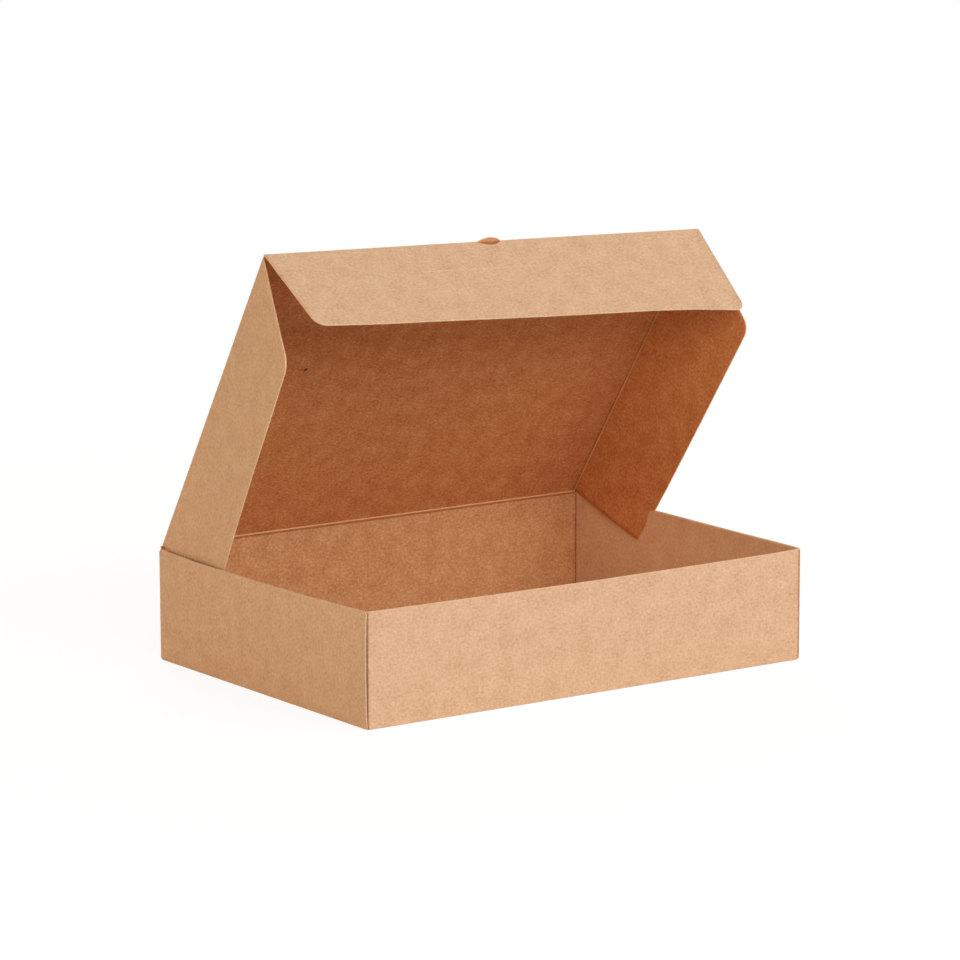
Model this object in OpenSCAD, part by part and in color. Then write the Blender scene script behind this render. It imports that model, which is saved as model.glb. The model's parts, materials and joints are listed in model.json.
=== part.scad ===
// Meal box with a hinged lid, cut from one sheet of thin kraft board and folded up.
// Lengths are in millimetres and angles in degrees.
// The origin is the centre of the tray's underside. X runs to the right, Y to the back and Z up.
// The sheet is divided only at the four creases that move: the lid's and those of its three flaps.

/* [Tray] */
// Outside width of the tray
tray_width = 250; // [200:1:350]
// Outside depth of the tray, from front to back
tray_depth = 180; // [150:1:260]
// Height of the front wall and of the two side walls
wall_height = 55; // [40:0.5:90]
// Length of the corner tabs that reach into the side walls
tab_length = 40; // [20:1:60]
// How far the free end of a corner tab narrows, above and below
tab_taper = 6; // [2:0.5:12]

/* [Board] */
// Thickness of the board
board = 0.45; // [0.3:0.05:0.8]
// Inside radius of the tray's folded edges
fold_radius = 0.25; // [0.1:0.05:0.6]
// Air between the layers of a side wall
layer_gap = 0.06; // [0.03:0.01:0.2]
// Free play between a cut edge and the board next to it
edge_play = 0.3; // [0.2:0.05:0.8]

/* [Lid] */
// Height of the lid's crease above the front and side walls
hinge_rise = 2; // [1:0.25:6]
// How far the lid is open, 0 when it is closed
lid_angle = 56; // [10:1:85]
// Play between the lid's side flaps and each side wall
lid_side_play = 0.35; // [0.2:0.05:2]
// Distance from the closed lid's front crease to the inside of the front wall
lid_front_play = 3.3; // [2.5:0.1:8]
// Distance from the hinge axis to the lid's edge, and to the back wall's top edge
hinge_gap = 0.3; // [0.27:0.01:0.6]

/* [Thumb tab] */
// Width of the half-moon tab at the lid's front crease
thumb_width = 13.6; // [8:0.2:30]
// How far the half-moon tab stands out past the crease
thumb_height = 2.6; // [1.5:0.1:6]
// Width of the cut round the half-moon tab
thumb_cut = 0.2; // [0.1:0.05:0.6]

/* [Flaps] */
// Play between the tray's bottom and the flaps of the closed lid
flap_floor_play = 4; // [1:0.25:10]
// How far the front flap is folded in, 0 when it is straight
front_flap_fold = 96.5; // [90:0.5:105]
// Radius of the front flap's two free corners
front_flap_round = 8; // [3:0.5:20]
// How far the side flaps are folded in, 0 when they are straight
side_flap_fold = 90; // [90:1:120]
// Slant of a side flap's front end
side_flap_front_slant = 20; // [18:0.5:35]
// Slant of a side flap's rear end
side_flap_rear_slant = 14; // [8:0.5:30]
// Radius of a side flap's free front corner
side_flap_round = 8; // [3:0.5:20]
// Distance from a side flap's two ends to the lid's corners, at the crease
side_flap_inset = 1; // [0.6:0.1:4]
// Distance from a flap's crease to the flap's own edge
crease_gap = 0.1; // [0.05:0.01:0.3]

/* [Hidden] */
$fn = 48;

kraft_outside = [0.80, 0.62, 0.44];
kraft_lid = [0.74, 0.55, 0.38];
kraft_flap = [0.84, 0.67, 0.49];

half_width = tray_width / 2;
half_depth = tray_depth / 2;
edge_radius = fold_radius + board;

// A side wall is three layers thick at its corners: outer layer, corner tab and inner layer.
tab_face = half_width - board - layer_gap;
inner_face = tab_face - board - layer_gap - board;
roll_radius = (half_width - inner_face) / 2;
roll_centre = wall_height - roll_radius;
layer_half_length = half_depth - board - edge_play;
wall_half_width = tab_face - edge_radius;
tab_low = edge_radius + edge_play;
tab_high = roll_centre - edge_play;

// The hinge axis lies in the middle of the back wall's thickness.
hinge_y = half_depth - board / 2;
hinge_z = wall_height + hinge_rise;
lid_length = tray_depth - 1.5 * board - lid_front_play;
lid_half = inner_face - lid_side_play - board;
flap_depth = hinge_z - board - flap_floor_play;

// The tab is a segment of a circle that stands out past the front crease.
thumb_radius = (pow(thumb_width / 2, 2) + pow(thumb_height, 2)) / (2 * thumb_height);
thumb_centre = thumb_radius - thumb_height - lid_length;

// A strip of board bent round the Z axis, from the X axis to the given angle.
module bend(angle, inner_radius, length) {
    rotate_extrude(angle = angle)
        translate([inner_radius, 0])
            square([board, length]);
}

// A bend that runs along Y, centred on the origin, with its start direction given in the XZ plane.
module bend_along_y(start, angle, inner_radius, length) {
    translate([0, length / 2, 0])
        rotate([90, 0, 0])
            rotate([0, 0, start])
                bend(angle, inner_radius, length);
}

// A bend that runs along X, centred on the origin, with its start direction given in the YZ plane.
module bend_along_x(start, angle, inner_radius, length) {
    translate([-length / 2, 0, 0])
        rotate([90, 0, 90])
            rotate([0, 0, start])
                bend(angle, inner_radius, length);
}

// A box given by its lowest and highest corners.
module block(low, high) {
    translate(low)
        cube(high - low);
}

// The right side wall: up from the bottom, over the rolled top edge and down inside.
module side_wall() {
    translate([half_width - edge_radius, 0, edge_radius])
        bend_along_y(-90, 90, fold_radius, 2 * (half_depth - edge_radius));
    block([half_width - board, -half_depth, edge_radius], [half_width, half_depth, roll_centre]);
    translate([half_width - roll_radius, 0, roll_centre])
        bend_along_y(0, 180, roll_radius - board, 2 * layer_half_length);
    block([inner_face, -layer_half_length, board + layer_gap],
          [inner_face + board, layer_half_length, roll_centre]);
}

// The corner tab at the right end of the front wall, bent back into the side wall.
module corner_tab() {
    bend_y = edge_radius - half_depth;
    translate([wall_half_width, bend_y, tab_low])
        rotate([0, 0, -90])
            bend(90, fold_radius, wall_height - tab_low);
    translate([tab_face - board, 0, 0])
        rotate([90, 0, 90])
            linear_extrude(board)
                polygon([
                    [bend_y, tab_low],
                    [bend_y + tab_length, tab_low + tab_taper],
                    [bend_y + tab_length, tab_high - tab_taper],
                    [bend_y, tab_high]
                ]);
}

// The front wall, a single layer with a cut top edge. The back wall has the same form and is higher.
module end_wall(top) {
    translate([0, edge_radius - half_depth, edge_radius])
        bend_along_x(180, 90, fold_radius, 2 * wall_half_width);
    block([-wall_half_width, -half_depth, edge_radius], [wall_half_width, board - half_depth, top]);
    for (side = [0, 1])
        mirror([side, 0, 0])
            corner_tab();
}

// The tray: bottom, walls, rolled side walls and corner tabs are one folded sheet.
module tray() {
    color(kraft_outside)
        union() {
            block([edge_radius - half_width, edge_radius - half_depth, 0],
                  [half_width - edge_radius, half_depth - edge_radius, board]);
            for (side = [0, 1])
                mirror([side, 0, 0])
                    side_wall();
            end_wall(wall_height);
            mirror([0, 1, 0])
                end_wall(hinge_z - hinge_gap);
        }
}

// Carries what is drawn for the closed lid, with the hinge axis as X axis, to the open position.
module on_lid() {
    translate([0, hinge_y, hinge_z])
        rotate([-lid_angle, 0, 0])
            children();
}

// The lid's main panel with the half-moon thumb tab, which stays in the panel's plane.
module lid_panel() {
    color(kraft_lid)
        on_lid()
            translate([0, 0, -board / 2])
                linear_extrude(board)
                    union() {
                        translate([-lid_half, -lid_length])
                            square([2 * lid_half, lid_length - hinge_gap]);
                        intersection() {
                            translate([0, thumb_centre])
                                circle(thumb_radius);
                            translate([-thumb_width / 2, -lid_length - thumb_height])
                                square([thumb_width, thumb_height + board]);
                        }
                    }
}

// Outline of the front flap, straight out from its crease, with the half-moon opening.
module front_flap_outline() {
    half = lid_half + board;
    end = -lid_length - flap_depth;
    difference() {
        union() {
            translate([-half, end + front_flap_round])
                square([2 * half, flap_depth - front_flap_round - crease_gap]);
            translate([front_flap_round - half, end])
                square([2 * (half - front_flap_round), front_flap_round]);
            for (side = [-1, 1])
                translate([side * (half - front_flap_round), end + front_flap_round])
                    circle(front_flap_round);
        }
        translate([0, thumb_centre])
            circle(thumb_radius + thumb_cut);
    }
}

// The front flap. Its crease is at the inner face of the board.
module front_flap() {
    color(kraft_flap)
        on_lid()
            translate([0, -lid_length, -board / 2])
                rotate([front_flap_fold, 0, 0])
                    translate([0, lid_length, 0])
                        linear_extrude(board)
                            front_flap_outline();
}

// Outline of a side flap. X is the distance from its crease and Y runs from the lid's front to its hinge.
module side_flap_outline() {
    front_y = side_flap_inset - lid_length;
    front_end = front_y + flap_depth * tan(side_flap_front_slant);
    rear_end = -side_flap_inset - flap_depth * tan(side_flap_rear_slant);
    corner_angle = 90 + side_flap_front_slant;
    reach = side_flap_round / tan(corner_angle / 2);
    union() {
        polygon([
            [crease_gap, front_y + crease_gap * tan(side_flap_front_slant)],
            [flap_depth - reach * cos(side_flap_front_slant), front_end - reach * sin(side_flap_front_slant)],
            [flap_depth, front_end + reach],
            [flap_depth, rear_end],
            [crease_gap, -side_flap_inset - crease_gap * tan(side_flap_rear_slant)]
        ]);
        translate([flap_depth - side_flap_round, front_end + reach])
            circle(side_flap_round);
    }
}

// The right side flap. Its crease is at the inner face of the board.
module side_flap() {
    on_lid()
        translate([lid_half, 0, -board / 2])
            rotate([0, side_flap_fold, 0])
                linear_extrude(board)
                    side_flap_outline();
}

module right_flap() {
    color(kraft_flap)
        side_flap();
}

module left_flap() {
    color(kraft_flap)
        mirror([1, 0, 0])
            side_flap();
}

tray();
lid_panel();
front_flap();
left_flap();
right_flap();
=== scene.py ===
import json
import math

import bpy
import numpy as np
from mathutils import Matrix, Vector


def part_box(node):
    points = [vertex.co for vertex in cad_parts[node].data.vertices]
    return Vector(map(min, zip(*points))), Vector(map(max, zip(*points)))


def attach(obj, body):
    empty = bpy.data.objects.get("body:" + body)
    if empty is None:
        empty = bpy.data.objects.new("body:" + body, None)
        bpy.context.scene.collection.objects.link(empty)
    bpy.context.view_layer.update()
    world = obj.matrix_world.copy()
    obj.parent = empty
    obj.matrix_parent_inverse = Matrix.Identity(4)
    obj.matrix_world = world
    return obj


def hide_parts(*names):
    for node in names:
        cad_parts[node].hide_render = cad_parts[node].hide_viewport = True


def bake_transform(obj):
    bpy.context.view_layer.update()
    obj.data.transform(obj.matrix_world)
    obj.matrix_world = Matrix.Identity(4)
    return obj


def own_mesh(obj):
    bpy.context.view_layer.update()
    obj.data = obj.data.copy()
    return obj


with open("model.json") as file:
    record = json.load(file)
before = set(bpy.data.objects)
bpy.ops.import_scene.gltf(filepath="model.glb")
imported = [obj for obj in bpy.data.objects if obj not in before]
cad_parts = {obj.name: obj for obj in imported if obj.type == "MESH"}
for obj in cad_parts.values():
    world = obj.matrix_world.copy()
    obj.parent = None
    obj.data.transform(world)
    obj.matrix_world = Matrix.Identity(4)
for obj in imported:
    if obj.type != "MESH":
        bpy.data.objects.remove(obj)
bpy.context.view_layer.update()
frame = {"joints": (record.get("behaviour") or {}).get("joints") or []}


# The board.
# The whole box is one die-cut sheet of brown kraft folding board, 0.45 mm thick and uncoated on both faces.
# Long unbleached fibres show as fine pale and dark flecks, and the cut edges show the paler pulp inside.
MM = 0.001                    # the box's lengths are in millimetres, and Blender works in metres
BOARD = 0.45
INNER_FACE_SHIFT = 700        # the inner face shows another stretch of the same flecks
CUT_EDGE_SHIFT = 0.3          # a cut edge's two sides lie this far apart on the sheet, in x and in y
OUTER, INNER, EDGE = 0, 1, 2  # material slots of the sheet's two faces and of its cut edge
FOLD_WEAR, RIM_WEAR = 0.3, 1.0   # how much paler the board is at a fold and along a cut edge
BEAD_PAINTED_SHADE = -1.0            # and how dark the painted shade is below the hinge's bead


def linear(colour):
    """An sRGB hex colour as linear red, green, blue and alpha, by the two-part sRGB curve."""
    c = np.array([int(colour[i:i + 2], 16) for i in (1, 3, 5)]) / 255
    return (*np.where(c <= 0.04045, c / 12.92, ((c + 0.055) / 1.055) ** 2.4), 1.0)


def placed(name, data):
    """A new object in the scene, for a mesh, a lamp or the camera."""
    thing = bpy.data.objects.new(name, data)
    bpy.context.scene.collection.objects.link(thing)
    return thing


def bare_tree(owner):
    """The emptied node tree of a material or a world."""
    owner.use_nodes = True
    owner.node_tree.nodes.clear()
    return owner.node_tree


def add(tree, kind, inputs=None, **settings):
    """One node with its settings. Each input, by name or number, takes a value or the socket to link."""
    node = tree.nodes.new(kind)
    for key, value in settings.items():
        setattr(node, key, value)
    for key, value in (inputs or {}).items():
        if isinstance(value, bpy.types.NodeSocket):
            tree.links.new(value, node.inputs[key])
        else:
            node.inputs[key].default_value = value
    return node


def place_on_sheet(tree):
    """Where a point lies on the flat sheet, in millimetres, from the piece's own UV map."""
    sheet = add(tree, "ShaderNodeUVMap", uv_map="sheet").outputs[0]
    return add(tree, "ShaderNodeVectorMath", {0: sheet, 1: (1 / MM,) * 3}, operation="MULTIPLY").outputs[0]


def noise(tree, place, grain_mm, detail=2.0, turn=0.0, stretch=1.0):
    """Noise with grains of the given size on the flat sheet, drawn out along a direction for fibres."""
    laid = add(tree, "ShaderNodeMapping", {"Vector": place, "Rotation": (0, 0, math.radians(turn)),
                                           "Scale": (1 / (grain_mm * stretch), 1 / grain_mm, 1)})
    return add(tree, "ShaderNodeTexNoise", {"Vector": laid.outputs[0], "Scale": 1.0, "Detail": detail},
               noise_dimensions="2D").outputs["Fac"]


def weigh(tree, value, low, high, to_low, to_high):
    """A value between low and high moved to the range between to_low and to_high, held at its ends."""
    return add(tree, "ShaderNodeMapRange", {"Value": value, "From Min": low, "From Max": high,
                                            "To Min": to_low, "To Max": to_high}).outputs[0]


def total(tree, *values):
    """The sum of several values."""
    result = values[0]
    for value in values[1:]:
        result = add(tree, "ShaderNodeMath", {0: result, 1: value}, operation="ADD").outputs[0]
    return result


def kraft_face(name, dark, base, pale, marks=()):
    """Uncoated brown kraft board, as the board machine leaves it: a matte felt of long fibres. Clouds of the
    pulp's uneven thickness, grains and drawn-out fibres add up to one value that runs from the dark colour
    over the base colour to the pale one. Folds and the rims of cut edges are paler, because their fibres are
    stretched or bruised. The same value also carries painted light: partly a painted highlight on the score
    beads, painted light on the thumb tab, and painted shade below the hinge's bead and in the corners'
    narrow gaps. Marks are small spots of another colour, each with its place on the sheet, its half length
    and half width in mm, its turn in degrees, and how strongly it shows."""
    material = bpy.data.materials.new(name)
    tree = bare_tree(material)
    place = place_on_sheet(tree)
    clouds = weigh(tree, noise(tree, place, 9, detail=3), 0.25, 0.75, -0.11, 0.11)
    # Real fibres are about 0.03 mm wide. These are drawn as wide as shows in the picture.
    grains = weigh(tree, noise(tree, place, 1.4), 0.25, 0.75, -0.19, 0.19)
    across = weigh(tree, noise(tree, place, 0.6, turn=8, stretch=4), 0.58, 0.80, 0, 0.28)
    along = weigh(tree, noise(tree, place, 0.55, turn=96, stretch=5), 0.60, 0.80, 0, -0.28)
    slanted = weigh(tree, noise(tree, place, 0.55, turn=47, stretch=4), 0.62, 0.80, 0, 0.25)
    wear_and_painted_light = add(tree, "ShaderNodeAttribute", attribute_name="wear_and_painted_light", attribute_type="GEOMETRY").outputs["Fac"]
    fibres = total(tree, weigh(tree, wear_and_painted_light, -1, 1, -0.1, 1.1), clouds, grains, across, along, slanted)
    ramp = add(tree, "ShaderNodeValToRGB", {"Fac": fibres})
    stops = ramp.color_ramp.elements
    stops[0].position, stops[0].color = 0.0, linear(dark)
    stops[1].position, stops[1].color = 1.0, linear(pale)
    middle = stops.new(0.5)
    middle.color = linear(base)
    colour = ramp.outputs["Color"]
    for (x, y), (half_x, half_y), degrees, tint, strength in marks:
        off = add(tree, "ShaderNodeMapping",
                  {"Vector": place, "Location": (x, y, 0), "Scale": (half_x, half_y, 1),
                   "Rotation": (0, 0, math.radians(degrees))}, vector_type="TEXTURE")
        away = add(tree, "ShaderNodeVectorMath", {0: off.outputs[0]}, operation="LENGTH").outputs["Value"]
        shown = weigh(tree, away, 0.5, 1.0, strength, 0)
        colour = add(tree, "ShaderNodeMix", {0: shown, 6: colour, 7: linear(tint)},
                     data_type="RGBA").outputs[2]
    rough = noise(tree, place, 0.35, detail=3)
    bump = add(tree, "ShaderNodeBump", {"Height": rough, "Strength": 0.25, "Distance": 0.05 * MM})
    surface = add(tree, "ShaderNodeBsdfPrincipled", {"Base Color": colour, "Roughness": 0.85, "IOR": 1.5,
                                                     "Specular IOR Level": 0.3, "Normal": bump.outputs[0]})
    add(tree, "ShaderNodeOutputMaterial", {"Surface": surface.outputs[0]})
    return material


def kraft_cut_edge():
    """The board's edge, sheared by the cutting die: paler torn pulp, a little mottled."""
    material = bpy.data.materials.new("kraft_board_cut_edge")
    tree = bare_tree(material)
    place = place_on_sheet(tree)
    ramp = add(tree, "ShaderNodeValToRGB", {"Fac": noise(tree, place, 0.8, detail=3)})
    stops = ramp.color_ramp.elements
    stops[0].position, stops[0].color = 0.3, linear("#d9b088")
    stops[1].position, stops[1].color = 0.7, linear("#f2d6b4")
    surface = add(tree, "ShaderNodeBsdfPrincipled", {"Base Color": ramp.outputs["Color"], "Roughness": 0.95,
                                                     "IOR": 1.5, "Specular IOR Level": 0.2})
    add(tree, "ShaderNodeOutputMaterial", {"Surface": surface.outputs[0]})
    return material


kraft_outside = kraft_face("kraft_board_outside", "#c09370", "#dcb592", "#eccdaa",
                           [((-19, 341.0), (50, 0.4), -0.3, "#f0d2ae", 0.45),
                            ((104.8, 356.3), (0.55, 0.4), 20, "#7a5233", 0.7),
                            ((-43.3, -121.3), (0.8, 0.5), 70, "#94704d", 0.6)])
# The inside is the same uncoated board, given a darker, redder copy of its colours: painted shade and bounce
# light inside the tray.
kraft_inside_painted_shade = kraft_face("kraft_board_inside_painted_shade", "#a96b41", "#cc9362", "#e4b887")
# The lid's inner face, the flaps' inner faces and the score beads take a darker copy still: painted shade on
# the underside of the open lid. Its one mark is a dark speck.
kraft_lid_inside_painted_shade = kraft_face("kraft_board_lid_inside_painted_shade", "#a3542b", "#cb834e", "#e5ae79",
                              [((622.8, 250.8), (1.5, 0.9), 30, "#30140c", 1.0)])
kraft_edge = kraft_cut_edge()


def walk(start, heading, moves):
    """The middle line of a strip of board in one plane. From the start point it runs straight for (length,
    steps) and turns left along a circle for (degrees, radius, steps). Gives the points, the unit normals on
    the line's right, where the sheet's outer face is, the length walked to each point, and the sheet's wear
    at its folds."""
    points, normals, walked, bent = [np.array([start], float)], [], [np.zeros(1)], [np.zeros(1)]
    angle = math.radians(heading)
    normals.append(np.array([[math.sin(angle), -math.cos(angle)]]))
    for move in moves:
        end, length = points[-1][-1], walked[-1][-1]
        if len(move) == 2:
            run, steps = move
            share = np.arange(1, steps + 1) / steps
            points.append(end + share[:, None] * run * np.array([math.cos(angle), math.sin(angle)]))
            normals.append(np.repeat([[math.sin(angle), -math.cos(angle)]], steps, axis=0))
            walked.append(length + share * run)
            bent.append(np.zeros(steps))
        else:
            degrees, radius, steps = move
            turn = math.radians(degrees) * np.arange(1, steps + 1) / steps
            centre = end + radius * np.array([-math.sin(angle), math.cos(angle)])
            right = np.stack([np.sin(angle + turn), -np.cos(angle + turn)], axis=1)
            points.append(centre + radius * right)
            normals.append(right)
            walked.append(length + turn * radius)
            bent.append(FOLD_WEAR * np.sin(np.pi * np.arange(1, steps + 1) / steps) ** 0.5)
            angle += math.radians(degrees)
    return tuple(np.concatenate(part) for part in (points, normals, walked, bent))


def unit(vectors):
    """Vectors along the last axis, brought to length 1."""
    return vectors / np.linalg.norm(vectors, axis=-1, keepdims=True)


def folded_board(name, patches, inner, move=None):
    """A closed sheet of board from patches of its middle surface. A patch is a grid of points, a grid of
    unit normals towards the sheet's outer face, a grid of places on the flat sheet, and a grid of wear and
    painted light and shade from -1 to 1. Points that patches share become one. The faces lie half the
    thickness to each side of the middle surface, and a strip of cut edge closes every open side. inner is
    the material of the sheet's inner face, and move shifts the finished points, as the board's own spring
    does."""
    points, normals, sheet, fold, quads, first = [], [], [], [], [], 0
    for grid, grid_normals, grid_sheet, grid_wear_and_shade in patches:
        rows, columns = grid.shape[:2]
        index = first + np.arange(rows * columns).reshape(rows, columns)
        quad = np.stack([index[:-1, :-1], index[1:, :-1], index[1:, 1:], index[:-1, 1:]], axis=-1)
        quad = quad.reshape(-1, 4)
        middle_row, middle_column = rows // 2, columns // 2
        row_step = grid[middle_row, middle_column] - grid[middle_row - 1, middle_column]
        column_step = grid[middle_row, middle_column] - grid[middle_row, middle_column - 1]
        if np.cross(row_step, column_step) @ grid_normals[middle_row, middle_column] < 0:
            quad = quad[:, ::-1]
        points.append(grid.reshape(-1, 3))
        normals.append(grid_normals.reshape(-1, 3))
        sheet.append(grid_sheet.reshape(-1, 2))
        fold.append(grid_wear_and_shade.reshape(-1))
        quads.append(quad)
        first += rows * columns
    points, normals, sheet, fold, quads = map(np.concatenate, (points, normals, sheet, fold, quads))
    microns = np.round(points * 1000).astype(int)
    _, kept, shared = np.unique(microns, axis=0, return_index=True, return_inverse=True)
    shared = shared.reshape(-1)
    count = len(kept)
    summed = np.zeros((count, 3))
    np.add.at(summed, shared, normals)
    outward = unit(summed) * BOARD / 2
    middle, fold = points[kept], fold[kept]
    both = np.concatenate([middle + outward, middle - outward])
    if move:
        both = move(both)
    faces = shared[quads]
    sides = np.stack([faces, np.roll(faces, -1, axis=1)], axis=-1).reshape(-1, 2)
    corner = np.stack([quads, np.roll(quads, -1, axis=1)], axis=-1).reshape(-1, 2)
    open_side = ~np.isin(sides[:, 0] * count + sides[:, 1], sides[:, 1] * count + sides[:, 0])
    (a, b), (a_sheet, b_sheet) = sides[open_side].T, corner[open_side].T
    edges = np.stack([b, a, a + count, b + count], axis=1)
    every = np.concatenate([faces, faces[:, ::-1] + count, edges])
    lower = np.array([INNER_FACE_SHIFT, 0])
    places = np.concatenate([sheet[quads], sheet[quads[:, ::-1]] + lower,
                             np.stack([sheet[b_sheet], sheet[a_sheet], sheet[a_sheet] + CUT_EDGE_SHIFT,
                                       sheet[b_sheet] + CUT_EDGE_SHIFT], axis=1)])
    mesh = bpy.data.meshes.new(name)
    mesh.from_pydata((both * MM).tolist(), [], every.tolist())
    counts = [len(faces), len(faces), len(edges)]
    mesh.polygons.foreach_set("material_index", np.repeat([OUTER, INNER, EDGE], counts))
    mesh.polygons.foreach_set("use_smooth", np.repeat([True, True, False], counts))
    mesh.uv_layers.new(name="sheet").data.foreach_set("uv", (places * MM).ravel().astype(np.float32))
    # This point attribute carries wear together with painted light and shade.
    wear_and_painted_light = mesh.attributes.new("wear_and_painted_light", "FLOAT", "POINT")
    wear_and_painted_light.data.foreach_set("value", np.tile(fold, 2).astype(np.float32))
    for material in (kraft_outside, inner, kraft_edge):
        mesh.materials.append(material)
    mesh.validate()
    return placed(name, mesh)


# The tray.
# Bottom, walls and corner tabs are one stretch of the sheet. The side walls go up, roll over at the top and
# come down inside, where they hold the tabs of the front and back walls. Nothing is glued.
tray_high = np.array(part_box("tray")[1]) / MM
HALF_WIDTH, HALF_DEPTH = tray_high[0], tray_high[1]
WALL_HEIGHT = 55.0
BACK_WALL_REACH = 0.15        # the back wall goes on this far past its solid, halfway to the hinge's axis
BACK_WALL_TOP = tray_high[2] + BACK_WALL_REACH
RIM_ROWS = [(0.35, 0), (0, RIM_WEAR)]          # wear by the distance below a wall's cut top edge
BEAD_SHADE_ROWS = [(1.5, 0), (1.25, BEAD_PAINTED_SHADE), (0.5, BEAD_PAINTED_SHADE), (0, 0)]   # and the painted shade below the hinge's bead, by the distance below the back wall's top
CORNER_PAINTED_SHADE = -0.6            # painted shade in the corners' narrow gaps
FOLD_RADIUS = 0.25            # inside radius of a folded edge
LAYER_GAP = 0.06              # air between the layers of a side wall
EDGE_PLAY = 0.3               # between a cut edge and the board next to it
INNER_PLAY = 0.9              # the inner layers stop this far before the front and back walls
TAB_LENGTH, TAB_TAPER = 40.0, 6.0
SUPPORT = 0.4                 # a row of faces this close to a fold keeps its panel flat in its shading
ACROSS_STEPS, DEPTH_STEPS, HEIGHT_STEPS, TAB_STEPS = 96, 72, 20, 12
ROLL_STEPS, BEND_STEPS = 12, 8
RIM_BAND = 3                  # below a wall's top edge, where the rows of points follow its wear
WALL_ROWS = 24                # rows over the rest of the front or back wall's height
NEAR = 0.1                    # places that differ by less than this count as the same

edge_radius = FOLD_RADIUS + BOARD
fold_middle = FOLD_RADIUS + BOARD / 2
tab_middle = HALF_WIDTH - BOARD - LAYER_GAP - BOARD / 2
inner_middle = tab_middle - BOARD - LAYER_GAP
roll_middle = (HALF_WIDTH - BOARD / 2 - inner_middle) / 2
roll_height = WALL_HEIGHT - roll_middle - BOARD / 2
wall_half = HALF_WIDTH - BOARD - LAYER_GAP - edge_radius
fold_start = HALF_DEPTH - edge_radius


def strip(line, heights, plane, lows, highs):
    """A profile line carried straight along the third axis. Each point of the line has its own lowest and
    highest place, and the heights, from 0 to 1, are the rows between them. plane names the two axes of the
    line."""
    points, normals, walked, bent = line
    third = ({0, 1, 2} - set(plane)).pop()
    rise = lows[:, None] + heights[None, :] * (highs - lows)[:, None]
    grid, grid_normals = np.zeros((*rise.shape, 3)), np.zeros((*rise.shape, 3))
    for axis, (along, off) in zip(plane, zip(points.T, normals.T)):
        grid[..., axis] = along[:, None]
        grid_normals[..., axis] = off[:, None]
    grid[..., third] = rise
    return grid, grid_normals, np.repeat(bent[:, None], len(heights), axis=1), walked


def mirrored_in_depth(patch):
    """The same patch at the other end of the tray."""
    grid, grid_normals, sheet, fold = patch
    return grid * (1, -1, 1), grid_normals * (1, -1, 1), sheet * (1, -1), fold


# The bottom and both side walls are one strip, from the left wall's inner layer to the right wall's.
straight_up = roll_height - (BOARD + LAYER_GAP)
outer_height = roll_height - edge_radius
half_moves = [(straight_up - SUPPORT, HEIGHT_STEPS), (SUPPORT, 1), (180, roll_middle, ROLL_STEPS),
              (SUPPORT, 1), (outer_height - 2 * SUPPORT, HEIGHT_STEPS), (SUPPORT, 1),
              (90, fold_middle, BEND_STEPS),
              (HALF_WIDTH - edge_radius - wall_half, 1), (SUPPORT, 1)]
across = [(2 * (wall_half - SUPPORT), ACROSS_STEPS)]
line = walk((-inner_middle, BOARD + LAYER_GAP), 90, half_moves + across + half_moves[::-1])
walked = line[2] - line[2][-1] / 2
heights, outside = line[0][:, 1], np.abs(line[0][:, 0]) > tab_middle + BOARD / 2
reach = np.where(outside & (heights > edge_radius + NEAR) & (heights < roll_height - NEAR), HALF_DEPTH,
                 np.where(heights > edge_radius + NEAR, HALF_DEPTH - BOARD - EDGE_PLAY, fold_start))
reach = np.where(~outside & (np.abs(line[0][:, 0]) > wall_half), HALF_DEPTH - BOARD - EDGE_PLAY, reach)
inner_layer = ~outside & (heights > BOARD) & (heights < roll_height - NEAR)
reach = np.where(inner_layer, HALF_DEPTH - BOARD - INNER_PLAY, reach)
reach = np.where(heights < BOARD, fold_start, reach)
rows = np.concatenate([[0], np.linspace(SUPPORT, 2 * fold_start - SUPPORT, DEPTH_STEPS + 1),
                       [2 * fold_start]]) / (2 * fold_start)
grid, grid_normals, grid_wear_and_shade, _ = strip(line, rows, (0, 2), -reach, reach)
place = np.stack([np.repeat(walked[:, None], len(rows), axis=1), grid[..., 1]], axis=-1)
side_strip = (grid, grid_normals, place, grid_wear_and_shade)


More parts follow.
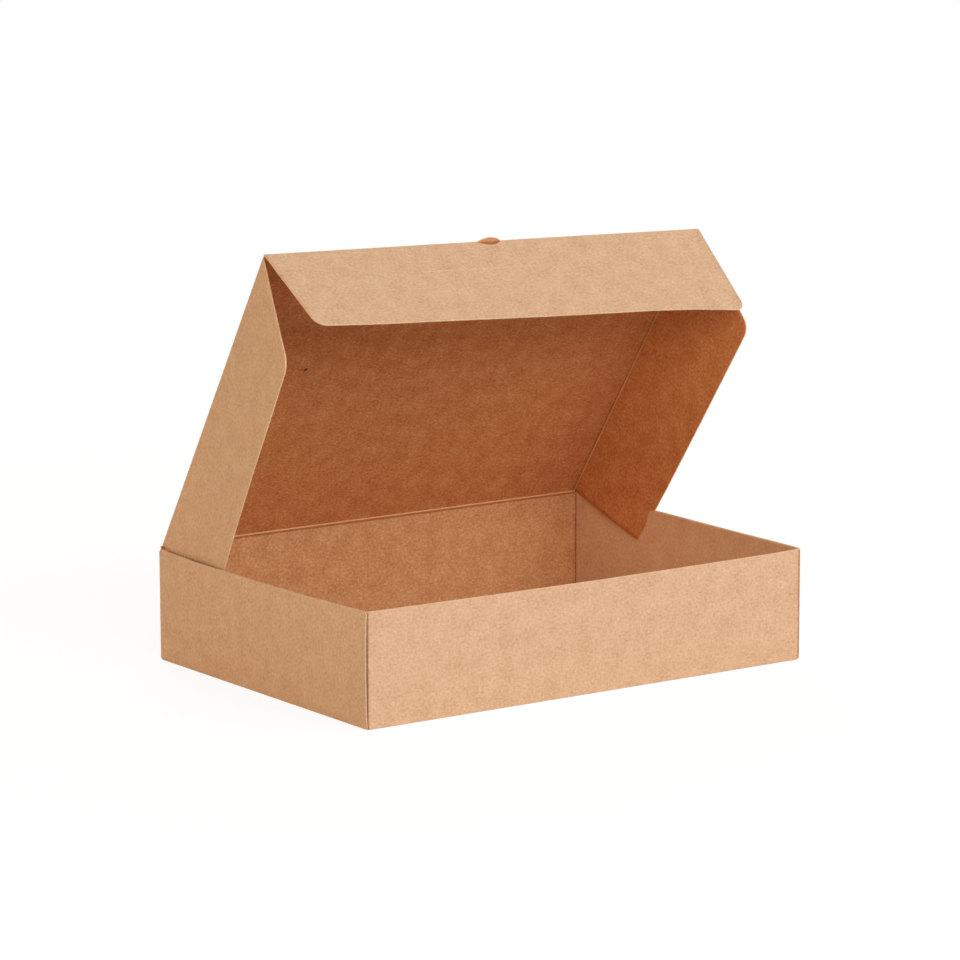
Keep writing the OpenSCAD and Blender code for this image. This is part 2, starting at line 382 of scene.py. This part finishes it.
def end_wall(top):
    """The front wall as the tray has it, with the fold to the bottom and the two corner tabs. The wall and
    its tabs are a line in plan carried upwards, and the fold is a line in the section carried across."""
    tab_moves = [(TAB_LENGTH - SUPPORT, TAB_STEPS), (SUPPORT, 1), (90, fold_middle, BEND_STEPS),
                 (SUPPORT, 1)]
    plan = walk((-tab_middle, TAB_LENGTH - fold_start), -90, tab_moves + across + tab_moves[::-1])
    beyond = np.clip((plan[0][:, 1] + fold_start) / TAB_LENGTH, 0, 1)
    in_wall = np.abs(plan[0][:, 0]) <= wall_half + 1e-6
    in_tab = plan[0][:, 1] > -fold_start + 1e-6
    lows = np.where(in_wall, edge_radius, edge_radius + EDGE_PLAY + TAB_TAPER * beyond)
    tab_highs = roll_height - EDGE_PLAY - TAB_TAPER * beyond
    highs = np.where(in_wall, top, np.where(in_tab, tab_highs, top - EDGE_PLAY))
    rise = top - edge_radius
    below_top, top_wear_and_shade = zip(*(RIM_ROWS if top == WALL_HEIGHT else BEAD_SHADE_ROWS))
    rows = np.concatenate([[0], np.linspace(SUPPORT, rise - RIM_BAND, WALL_ROWS),
                           rise - np.array(below_top)]) / rise
    grid, grid_normals, grid_wear_and_shade, walked = strip(plan, rows, (0, 1), lows, highs)
    # For the back wall this is painted shade below the hinge's bead, for the front wall the pale rim of its
    # cut top edge.
    grid_wear_and_shade[in_wall, -len(below_top):] = top_wear_and_shade
    # The bends between wall and tab lie in the corners' narrow gaps and get painted shade.
    grid_wear_and_shade[~in_wall & ~in_tab] = CORNER_PAINTED_SHADE
    fold_length = fold_middle * math.pi / 2
    place = np.stack([np.repeat(walked[:, None] - walked[-1] / 2, len(rows), axis=1),
                      -(fold_start + fold_length + grid[..., 2] - edge_radius)], axis=-1)
    section = walk((BOARD / 2 - HALF_DEPTH, edge_radius), -90, [(90, fold_middle, BEND_STEPS)])
    x = plan[0][in_wall, 0]
    fold_grid = np.zeros((len(x), len(section[0]), 3))
    fold_normals = np.zeros_like(fold_grid)
    fold_grid[..., 0] = x[:, None]
    fold_grid[..., 1:] = section[0]
    fold_normals[..., 1:] = section[1]
    fold_place = np.stack([fold_grid[..., 0], np.broadcast_to(section[2] - fold_start - fold_length,
                                                              fold_grid.shape[:2])], axis=-1)
    fold = np.broadcast_to(section[3], fold_grid.shape[:2])
    return [(grid, grid_normals, place, grid_wear_and_shade), (fold_grid, fold_normals, fold_place, fold)]


# How the folded board springs, in mm at places along each wall. The lid's side flaps press both side walls
# outwards, the right wall's roll is not pushed down fully at the back, and the front wall's top edge hangs
# a little.
DEPTH_PLACES = [-90, -68, -44, -12, 12, 50, 90]
LEFT_OUT = [0, 1.6, 2.7, 3.2, 3.2, 2.9, 0]
LEFT_RISE = [-0.85, -0.9, -0.9, -0.9, -0.9, -0.7, -0.6]
RIGHT_OUT = [0, 0.9, 1.6, 2.8, 3.8, 3.4, 0]
RIGHT_RISE = [0, 0, 0, 0.05, 0.15, 0.7, 1.6]
FRONT_OUT = 1.6
FRONT_PLACES, FRONT_RISE = [-125, -60, 0, 60, 110, 125], [-0.85, -1.0, -1.1, -1.0, -0.8, -0.45]
SIDE_BAND = 15                # the side walls, their rolls and their tabs lie this far in at most
END_BAND = 1                  # and so far in the front wall
END_MARGIN = 0.5              # an end wall's rise goes on this far past its straight part
SPRING_POWER, FLARE_POWER = 1.3, 0.35   # how fast a wall's spring grows upwards, and how blunt the flare is
HINGE_DROP = 1.0              # the hinge's left end lies lower than its right end
CORNER_FLARE, FLARE_LENGTH = 0.9, 20   # the left outer layer's free front end stands off the corner


def hinge_drop(x):
    """How far the hinge crease lies below its joint at each x, more to the left."""
    return HINGE_DROP * (0.5 - x / (2 * HALF_WIDTH))


def tray_spring(points):
    """The shifts above, which grow with the height over the bottom."""
    x, y, z = points.T
    height = np.maximum(z, 0) / WALL_HEIGHT
    left, right, front = x < -HALF_WIDTH + SIDE_BAND, x > HALF_WIDTH - SIDE_BAND, y < -HALF_DEPTH + END_BAND
    in_end = np.abs(x) < wall_half + END_MARGIN
    back = (y > HALF_DEPTH - BOARD - NEAR) & in_end
    left_rise, right_rise = np.interp(y, DEPTH_PLACES, LEFT_RISE), np.interp(y, DEPTH_PLACES, RIGHT_RISE)
    rise = np.where(back, -hinge_drop(x), np.where(left, left_rise, np.where(right, right_rise, 0)))
    rise = np.where(front & in_end, np.interp(x, FRONT_PLACES, FRONT_RISE), rise)
    out = right * np.interp(y, DEPTH_PLACES, RIGHT_OUT) - left * np.interp(y, DEPTH_PLACES, LEFT_OUT)
    out = out * height ** SPRING_POWER
    outer = (np.abs(x) > HALF_WIDTH - BOARD - 0.01) & (height > 0) & (height < 1)
    flare = outer * left * CORNER_FLARE * np.clip(1 - (y + HALF_DEPTH) / FLARE_LENGTH, 0, 1) ** 2
    out -= flare * np.maximum(4 * height * (1 - height), 0) ** FLARE_POWER
    forward = front * FRONT_OUT * (1 - (x / HALF_WIDTH) ** 2)
    return points + np.stack([out, -forward * height ** SPRING_POWER, rise * height], axis=1)


patches = [side_strip, *end_wall(WALL_HEIGHT), *map(mirrored_in_depth, end_wall(BACK_WALL_TOP))]
tray = folded_board("tray_folded_board", patches, kraft_inside_painted_shade, tray_spring)
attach(tray, "tray")
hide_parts("tray")


# The lid.
# The lid is the sheet's next panel, beyond the crease on top of the back wall. It is a little twisted, so
# its left side is opened further, and a half-moon thumb tab stays in its plane at the middle of the front
# crease.
joints = {joint["name"]: joint for joint in frame["joints"]}
hinge = np.array(joints["lid_hinge"]["pos_m"]) / MM
LID_OPEN = math.radians(-joints["lid_hinge"]["range_deg"][0])
LEFT_TWIST, RIGHT_TWIST = math.tan(math.radians(1.45)), math.tan(math.radians(0.9))
CROWN = 1.0                   # how far the middle of the front crease stands out
SIDE_PLAY = 0.05              # what the lid has left at each side wall
THUMB_HALF, THUMB_HEIGHT, THUMB_CUT = 6.8, 2.6, 0.2
HINGE_START = 0.15            # the lid begins this far from the hinge's axis
TAB_PAINTED_LIGHT, TAB_FADE = 0.6, 0.4    # the thumb tab is painted paler as painted light, fully from this far past the crease
LID_STEPS, LID_BEND_STEPS, LID_FRONT_STEPS = 61, 6, 10
LID_FRONT = 0.98              # the rest of the lid's length, which carries the thumb tab, has closer rows
SIDE_COLUMNS, MOON_COLUMNS = 44, 25
HINGE_BEND = 2.0              # the first of the lid, where its rows lie closer together

front_crease = np.array(joints["front_flap_hinge"]["pos_m"]) / MM
lid_half = HALF_WIDTH - 3 * BOARD - 2 * LAYER_GAP - SIDE_PLAY - BOARD
lid_forward = np.array([0, -math.cos(LID_OPEN), math.sin(LID_OPEN)])
lid_outward = np.array([0, math.sin(LID_OPEN), math.cos(LID_OPEN)])
lid_length = (front_crease - hinge) @ lid_forward
thumb_radius = (THUMB_HALF ** 2 + THUMB_HEIGHT ** 2) / (2 * THUMB_HEIGHT)


def on_lid(x, along, out):
    """Places on the lid in the box's frame: across, along the lid from its hinge, and out from its middle
    surface. The twist grows along the lid and towards both sides, and the hinge's drop fades out towards
    the front."""
    x, along, out = np.broadcast_arrays(x, along, out)
    side = x / lid_half
    twist = along * ((LEFT_TWIST - RIGHT_TWIST) * side ** 2 - (LEFT_TWIST + RIGHT_TWIST) * side) / 2
    twist = twist + CROWN * (1 - side ** 2) * along / lid_length
    place = hinge * (0, 1, 1) + x[..., None] * (1, 0, 0) + along[..., None] * lid_forward
    place = place + (out + twist)[..., None] * lid_outward
    return place - (hinge_drop(x) * (1 - along / lid_length))[..., None] * (0, 0, 1)


def half_moon(x, play):
    """How far the half-moon stands past the crease at each x, with the cut's play added to its radius."""
    circle = np.sqrt(np.maximum((thumb_radius + play) ** 2 - x ** 2, 0)) - (thumb_radius - THUMB_HEIGHT)
    return np.maximum(circle, 0)


def across_with_moon(half, moon):
    """Columns across the lid, close together round the half-moon."""
    side = np.linspace(moon, half, SIDE_COLUMNS)
    middle = moon * np.sin(np.linspace(-1, 1, MOON_COLUMNS)[1:-1] * math.pi / 2)
    return np.concatenate([-side[::-1], middle, side])


# Where the lid starts on the flat sheet.
LID_SHEET = fold_start + fold_middle * math.pi / 2 + hinge[2] - edge_radius
x = across_with_moon(lid_half, THUMB_HALF)
end = lid_length + half_moon(x, 0)
share = np.concatenate([np.linspace(0, HINGE_BEND / lid_length, LID_BEND_STEPS + 1)[:-1],
                        np.linspace(HINGE_BEND / lid_length, LID_FRONT, LID_STEPS),
                        np.linspace(LID_FRONT, 1, LID_FRONT_STEPS + 1)[1:]])
along = HINGE_START + share[None, :] * (end[:, None] - HINGE_START)
x = np.repeat(x[:, None], len(share), axis=1)
grid = on_lid(x, along, 0 * along)
normals = np.broadcast_to(lid_outward, grid.shape)
# The thumb tab beyond the crease is painted paler: painted light on it.
wear_and_painted_light = np.clip((along - lid_length) / TAB_FADE, 0, 1) * TAB_PAINTED_LIGHT
place = np.stack([x, LID_SHEET + along], axis=-1)
lid = folded_board("lid_panel_board", [(grid, normals, place, wear_and_painted_light)], kraft_lid_inside_painted_shade)
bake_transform(lid)
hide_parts("lid_panel")


# The front flap.
# It folds in along the lid's front crease, more so at its right end, and tucks inside the front wall when
# the box is shut. Its two free corners are round, and a half-moon is cut out of its crease round the thumb
# tab.
FLAP_DEPTH = 52.5
FRONT_ROUND = 6.0
FOLD_STEPS, FRONT_ROWS, ROUND_STEPS = 6, 24, 9
FRONT_BAND = 3                # even rows begin this far below the crease
FOLD_END = 0.1                # the crease's wear ends this far below its bend
FOLD_PLACES = [-123, -88, -58, 9, 68, 92, 123]
FOLD_DEGREES = [88.0, 89.9, 90.8, 93.2, 94.5, 95.9, 99.5]
CREASE_RADIUS = 0.01          # inside radius of the flaps' creases, which turn about the board's inner face
crease_middle = BOARD / 2 + CREASE_RADIUS


def front_fold(x):
    """How far the front flap is folded in at each x, in radians."""
    return np.radians(np.interp(x, FOLD_PLACES, FOLD_DEGREES))


half = lid_half + BOARD
cut_half = math.sqrt((thumb_radius + THUMB_CUT) ** 2 - (thumb_radius - THUMB_HEIGHT) ** 2)
x = across_with_moon(half, cut_half)
start = half_moon(x, THUMB_CUT)
bend_length = crease_middle * math.pi / 2
turn = np.linspace(0, math.pi / 2, ROUND_STEPS + 1)
down = np.concatenate([np.linspace(0, bend_length, FOLD_STEPS + 1), [bend_length + SUPPORT],
                       np.linspace(FRONT_BAND, FLAP_DEPTH - FRONT_ROUND, FRONT_ROWS),
                       FLAP_DEPTH - FRONT_ROUND * (1 - np.sin(turn[1:]))])
corner = np.concatenate([np.zeros(len(down) - ROUND_STEPS), FRONT_ROUND * (1 - np.cos(turn[1:]))])
flat_down = start[:, None] + down[None, :] / FLAP_DEPTH * (FLAP_DEPTH - start)[:, None]
flat_x = x[:, None] * (1 - corner[None, :] / half)
fold_angle = front_fold(flat_x)
bent = np.clip(flat_down / (fold_angle * crease_middle), 0, 1) * fold_angle
beyond = np.maximum(flat_down - fold_angle * crease_middle, 0)
forward = crease_middle * np.sin(bent) + beyond * np.cos(fold_angle)
outward = crease_middle * np.cos(bent) - beyond * np.sin(fold_angle) - BOARD / 2
grid = on_lid(flat_x, lid_length + forward, outward)
normals = (np.sin(bent)[..., None] * lid_forward + np.cos(bent)[..., None] * lid_outward)
wear_and_painted_light = np.repeat(np.where(down < bend_length + FOLD_END, FOLD_WEAR, 0)[None, :], len(x), axis=0)
wear_and_painted_light[:, -2:] = RIM_WEAR
place = np.stack([flat_x, LID_SHEET + lid_length + flat_down], axis=-1)
front_flap = folded_board("front_flap_board", [(grid, normals, place, wear_and_painted_light)], kraft_lid_inside_painted_shade)
crease = on_lid(lid_half * np.array([-1, 1]), lid_length, -BOARD / 2)
bend_down = -unit(np.cross(unit(crease[1] - crease[0]), lid_forward))
bend_down = bend_down * np.sign(-bend_down @ lid_outward)
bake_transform(front_flap)
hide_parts("front_flap")


# The side flaps.
# They fold in along the lid's two side creases. The tray's walls hold their rear ends in, and further
# forward they spring outwards, the left one more. Their ends are cut at a slant, so that they pass the
# front flap and the hinge.
FRONT_INSET, REAR_INSET = 1.0, 0.3
FRONT_SLANT, REAR_SLANT = math.radians(20), math.radians(14)
SIDE_ROUND = 8.0
SIDE_STEPS, STRIP_STEPS, PANEL_STEPS, CORNER_STEPS = 60, 12, 19, 8
SEAM_SUPPORT = 0.04           # a row of faces this close to the seam keeps both sides flat in their shading


def flap_surface(side, springs, along, down):
    """Points and normals of a side flap at distances from the hinge and down from the crease. At a distance
    from the hinge the flap stands out by the angle given there, in degrees, so it is a ruled surface from
    the crease."""
    places, degrees = zip(*springs)
    fold_angle = np.radians(90 - np.interp(along, places, degrees))
    bent = np.clip(down / (fold_angle * crease_middle), 0, 1) * fold_angle
    beyond = np.maximum(down - fold_angle * crease_middle, 0)
    sideways = crease_middle * np.sin(bent) + beyond * np.cos(fold_angle)
    outward = crease_middle * np.cos(bent) - beyond * np.sin(fold_angle) - BOARD / 2
    across = np.array([side, 0, 0])
    grid = on_lid(side * lid_half + 0 * along, along, 0 * along) + sideways[..., None] * across
    normals = np.sin(bent)[..., None] * across + np.cos(bent)[..., None] * lid_outward
    return grid + outward[..., None] * lid_outward, normals


def side_flap(name, side, springs, giving):
    """One side flap on the lid's side -1 or 1. Rows run from the crease to the free edge, and each spans
    from the slanted front end to the slanted rear end. The crease is twisted and its joint is straight, so
    the flap is made in two pieces: the first of it, as wide as given, is a piece of its own, and the stiff
    panel beyond is attached to the flap's body."""
    bend_length = crease_middle * math.pi / 2
    corner_turn = math.pi / 2 + FRONT_SLANT
    tangent = SIDE_ROUND * math.tan((math.pi - corner_turn) / 2)
    straight = FLAP_DEPTH - tangent * math.cos(FRONT_SLANT)
    turn = np.linspace(0, math.pi / 2 - FRONT_SLANT, CORNER_STEPS + 1)[1:]
    down = np.concatenate([np.linspace(0, bend_length, FOLD_STEPS + 1),
                           np.linspace(bend_length, giving - SEAM_SUPPORT, STRIP_STEPS)[1:],
                           [giving], np.linspace(giving + SEAM_SUPPORT, straight, PANEL_STEPS),
                           FLAP_DEPTH - SIDE_ROUND + SIDE_ROUND * np.sin(FRONT_SLANT + turn)])
    seam = FOLD_STEPS + STRIP_STEPS
    front_at_edge = lid_length - FRONT_INSET - FLAP_DEPTH * math.tan(FRONT_SLANT)
    front = lid_length - FRONT_INSET - down * math.tan(FRONT_SLANT)
    front[-CORNER_STEPS:] = front_at_edge - tangent + SIDE_ROUND * np.cos(FRONT_SLANT + turn)
    rear = REAR_INSET + down * math.tan(REAR_SLANT)
    share = np.linspace(0, 1, SIDE_STEPS + 1)
    along = front[None, :] + share[:, None] * (rear - front)[None, :]
    wear_and_painted_light = np.repeat(np.where(down < bend_length + FOLD_END, FOLD_WEAR, 0)[None, :], len(share), axis=0)
    wear_and_painted_light[:, -2:] = RIM_WEAR
    down = np.repeat(down[None, :], len(share), axis=0)
    grid, normals = flap_surface(side, springs, along, down)
    sheet = np.stack([side * (lid_half + down), LID_SHEET + along], axis=-1)
    near, far = ([part[:, rows] for part in (grid, normals, sheet, wear_and_painted_light)]
                 for rows in (slice(seam + 1), slice(seam, None)))

    panel = folded_board(name + "_board", [far], kraft_lid_inside_painted_shade)
    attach(panel, name)
    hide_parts(name)
    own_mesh(panel)

    crease = folded_board(name + "_crease", [near], kraft_lid_inside_painted_shade)
    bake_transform(crease)


side_flap("left_flap", -1, [(5, 0), (30, 2.6), (45, 3.8), (60, 4.8), (94, 6.6), (126, 7.8), (176, 10.0)],
          giving=6.0)
side_flap("right_flap", 1, [(5, 0.3), (13, 2.4), (30, 4.6), (50, 5.7), (93, 6.9), (142, 7.9), (176, 8.2)],
          giving=10.0)


# The score beads.
# Scoring raises a thin bead along the inside of the lid's hinge and of its two side creases. The bead is
# painted paler than the panels, partly because its fibres are stretched and partly as a painted highlight
# along its lit ridge.
HINGE_BEAD_HEIGHT, HINGE_BEAD_HALF, HINGE_BEAD_MIDDLE = 0.42, 0.6, -0.1
BEAD_RADIUS, BEAD_WEAR_AND_HIGHLIGHT = 0.3, 0.9
BEAD_STEPS, BEAD_ROWS, WAVE_ROWS, WAVE_STEPS = 14, 60, 90, 15
BEAD_INSET, BEAD_DEPTH = 0.45, 0.25   # a side bead lies beside its crease and below the board
BEAD_END = 1                  # and stops this far before the crease's ends
BEAD_PLACE_STEP = 0.1         # a ring's points lie this far apart on the sheet
WAVE_ENDS = (1.5, 0.4)        # the hinge's bead stops this far before the lid's left and right edge
WAVE_ROOT = 0.05              # the wave is closed this far inside the board


def score_bead(name, bead):
    """A long closed bead from a grid of points with one row for each ring. The rings are joined one to the
    next, and a flat face closes each end. Its place on the sheet is the length along it and a step around
    it."""
    rows, around = bead.shape[:2]
    index = np.arange(rows * around).reshape(rows, around)
    following = np.roll(index, -1, axis=1)
    quads = np.stack([index[:-1], index[1:], following[1:], following[:-1]], axis=-1).reshape(-1, 4)
    mesh = bpy.data.meshes.new(name)
    mesh.from_pydata((bead.reshape(-1, 3) * MM).tolist(), [], [*quads.tolist(), index[0].tolist(),
                                                               index[-1, ::-1].tolist()])
    mesh.polygons.foreach_set("use_smooth", [True] * len(quads) + [False] * 2)
    row = unit(bead[-1, 0] - bead[0, 0])
    corner = np.zeros(len(mesh.loops), int)
    mesh.loops.foreach_get("vertex_index", corner)
    place = np.stack([bead.reshape(-1, 3)[corner] @ row, corner % around * BEAD_PLACE_STEP], axis=1)
    mesh.uv_layers.new(name="sheet").data.foreach_set("uv", (place * MM).ravel().astype(np.float32))
    wear_and_painted_light = mesh.attributes.new("wear_and_painted_light", "FLOAT", "POINT")
    # Every point of a bead gets the same paleness: stretched fibres and a painted highlight.
    wear_and_painted_light.data.foreach_set("value", np.full(len(mesh.vertices), BEAD_WEAR_AND_HIGHLIGHT))
    mesh.materials.append(kraft_lid_inside_painted_shade)
    piece = placed(name, mesh)
    return piece


def round_bead(points):
    """Rings round a straight row of points: radius * (cos t * a + sin t * b), a and b square to it."""
    row = unit(points[-1] - points[0])
    a = unit(np.cross(row, [0, 0, 1]))
    turn = np.linspace(0, 2 * math.pi, BEAD_STEPS, endpoint=False)
    ring = BEAD_RADIUS * (np.cos(turn)[:, None] * a + np.sin(turn)[:, None] * np.cross(row, a))
    return points[:, None, :] + ring[None, :, :]


# The hinge's bead is a low wave on the lid's inner face: height * (1 + cos t) / 2, t from -pi to pi.
x = np.linspace(-lid_half + WAVE_ENDS[0], lid_half - WAVE_ENDS[1], WAVE_ROWS)
t = np.linspace(-math.pi, math.pi, WAVE_STEPS)
wave = -BOARD / 2 - HINGE_BEAD_HEIGHT * (1 + np.cos(t)) / 2
along = np.concatenate([HINGE_BEAD_MIDDLE + HINGE_BEAD_HALF * t / math.pi,
                        [HINGE_BEAD_MIDDLE + HINGE_BEAD_HALF, HINGE_BEAD_MIDDLE - HINGE_BEAD_HALF / 2]])
out = np.concatenate([wave, [WAVE_ROOT - BOARD / 2] * 2])
hinge_bead = score_bead("hinge_crease_bead", on_lid(x[:, None], along[None, :], out[None, :]))
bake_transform(hinge_bead)
along = np.linspace(BEAD_END, lid_length - BEAD_END, BEAD_ROWS)
for name, side in (("left_crease_bead", -1), ("right_crease_bead", 1)):
    middle = on_lid(side * (lid_half - BEAD_INSET), along, -BOARD / 2 - BEAD_DEPTH)
    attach(score_bead(name, round_bead(middle)), "lid")


# The studio.
# A pale floor, soft lamps and a long lens a little above the box. Lengths in this section are in metres.
FLOOR_RADIUS, FLOOR_SIDES = 4.0, 96
FLOOR_DROP = 0.0001           # the floor lies this far below the box, so that the two faces don't flicker
FADE_START, FADE_END = 0.25, 0.7   # how far from the box's middle the floor turns to plain white
SEEN_GREY, SEEN_LIFT = 0.22, 0.86  # how much of the shadow, and of plain white, the camera sees near the box
LAMP_AIM = 0.1                # the height that the lamps face


def floor_material():
    """Matte white card. For the camera it fades to plain white away from the box, whose shadow it keeps."""
    material = bpy.data.materials.new("matte_white_card")
    tree = bare_tree(material)
    card = add(tree, "ShaderNodeBsdfDiffuse", {"Color": linear("#e9e9e8")})
    seen_card = add(tree, "ShaderNodeBsdfDiffuse", {"Color": (SEEN_GREY, SEEN_GREY, SEEN_GREY, 1)})
    lift = add(tree, "ShaderNodeEmission", {"Color": (1, 1, 1, 1), "Strength": SEEN_LIFT})
    near = add(tree, "ShaderNodeAddShader", {0: seen_card.outputs[0], 1: lift.outputs[0]})
    white = add(tree, "ShaderNodeEmission", {"Color": (1, 1, 1, 1), "Strength": 1.0})
    place = add(tree, "ShaderNodeTexCoord").outputs["Object"]
    away = add(tree, "ShaderNodeVectorMath", {0: place}, operation="LENGTH").outputs["Value"]
    fade = weigh(tree, away, FADE_START, FADE_END, 0, 1)
    seen = add(tree, "ShaderNodeMixShader", {0: fade, 1: near.outputs[0], 2: white.outputs[0]})
    path = add(tree, "ShaderNodeLightPath")
    direct = total(tree, path.outputs["Is Camera Ray"], path.outputs["Is Glossy Ray"],
                   path.outputs["Is Transmission Ray"])
    surface = add(tree, "ShaderNodeMixShader", {0: direct, 1: card.outputs[0], 2: seen.outputs[0]})
    add(tree, "ShaderNodeOutputMaterial", {"Surface": surface.outputs[0]})
    return material


turn = np.linspace(0, 2 * math.pi, FLOOR_SIDES, endpoint=False)
rim = np.stack([FLOOR_RADIUS * np.cos(turn), FLOOR_RADIUS * np.sin(turn), 0 * turn - FLOOR_DROP], axis=1)
mesh = bpy.data.meshes.new("studio_floor")
mesh.from_pydata(rim.tolist(), [], [list(range(FLOOR_SIDES))])
mesh.materials.append(floor_material())
placed("studio_floor", mesh)

world = bpy.data.worlds.new("studio")
tree = bare_tree(world)
path = add(tree, "ShaderNodeLightPath")
seen = total(tree, path.outputs["Is Camera Ray"], path.outputs["Is Glossy Ray"],
             path.outputs["Is Transmission Ray"])
room = add(tree, "ShaderNodeBackground", {"Color": linear("#ffe0c4"), "Strength": 0.12})
backdrop = add(tree, "ShaderNodeBackground", {"Color": (1, 1, 1, 1), "Strength": 1.0})
mixed = add(tree, "ShaderNodeMixShader", {0: seen, 1: room.outputs[0], 2: backdrop.outputs[0]})
add(tree, "ShaderNodeOutputWorld", {"Surface": mixed.outputs[0]})
bpy.context.scene.world = world


def softbox(name, azimuth, elevation, distance, width, height, power, colour="#ffffff"):
    """A rectangular lamp that faces the box's middle. Azimuth 0 is the box's front and 90 its right."""
    a, e = math.radians(azimuth), math.radians(elevation)
    back = Vector((math.sin(a) * math.cos(e), -math.cos(a) * math.cos(e), math.sin(e)))
    data = bpy.data.lights.new(name, "AREA")
    data.shape, data.size, data.size_y, data.energy = "RECTANGLE", width, height, power
    data.color = linear(colour)[:3]
    lamp = placed(name, data)
    lamp.location = Vector((0, 0, LAMP_AIM)) + back * distance
    lamp.rotation_mode = "QUATERNION"
    lamp.rotation_quaternion = (-back).to_track_quat("-Z", "Y")


softbox("front_softbox", 5, 26, 2.4, 3.0, 1.0, 43.0)
softbox("left_softbox", -76, 10, 2.0, 1.2, 0.5, 13.7, "#ffe3be")
softbox("right_softbox", 70, 30, 2.0, 1.2, 1.2, 6)
softbox("top_softbox", 0, 88, 2.0, 1.4, 1.4, 3)
softbox("back_softbox", 156, 35, 2.2, 1.6, 1.2, 20, "#ffead5")

# The camera stands in front and to the left of the box, a little above it, with a long lens.
CAMERA_AZIMUTH, CAMERA_ELEVATION, CAMERA_ROLL = (math.radians(v) for v in (-35.210, 9.989, -0.129))
CAMERA_DISTANCE, AIM_RIGHT, AIM_UP = 1.93055, 0.00007, 0.08669
FOCAL_PIXELS, PICTURE_PIXELS = 3998.5, 960
SENSOR = 36.0
back = Vector((math.sin(CAMERA_AZIMUTH) * math.cos(CAMERA_ELEVATION),
               -math.cos(CAMERA_AZIMUTH) * math.cos(CAMERA_ELEVATION), math.sin(CAMERA_ELEVATION)))
level = Vector((math.cos(CAMERA_AZIMUTH), math.sin(CAMERA_AZIMUTH), 0))
right = level * math.cos(CAMERA_ROLL) + back.cross(level) * math.sin(CAMERA_ROLL)
up = back.cross(right)
camera_data = bpy.data.cameras.new("camera")
camera_data.lens = FOCAL_PIXELS * SENSOR / PICTURE_PIXELS
camera_data.sensor_width = SENSOR
camera_data.clip_start, camera_data.clip_end = 0.05, 20
camera = placed("camera", camera_data)
camera.matrix_world = (Matrix.Translation(back * CAMERA_DISTANCE + right * AIM_RIGHT + up * AIM_UP)
                       @ Matrix((right, up, back)).transposed().to_4x4())
bpy.context.scene.camera = camera

bpy.context.scene.view_settings.view_transform = "Standard"
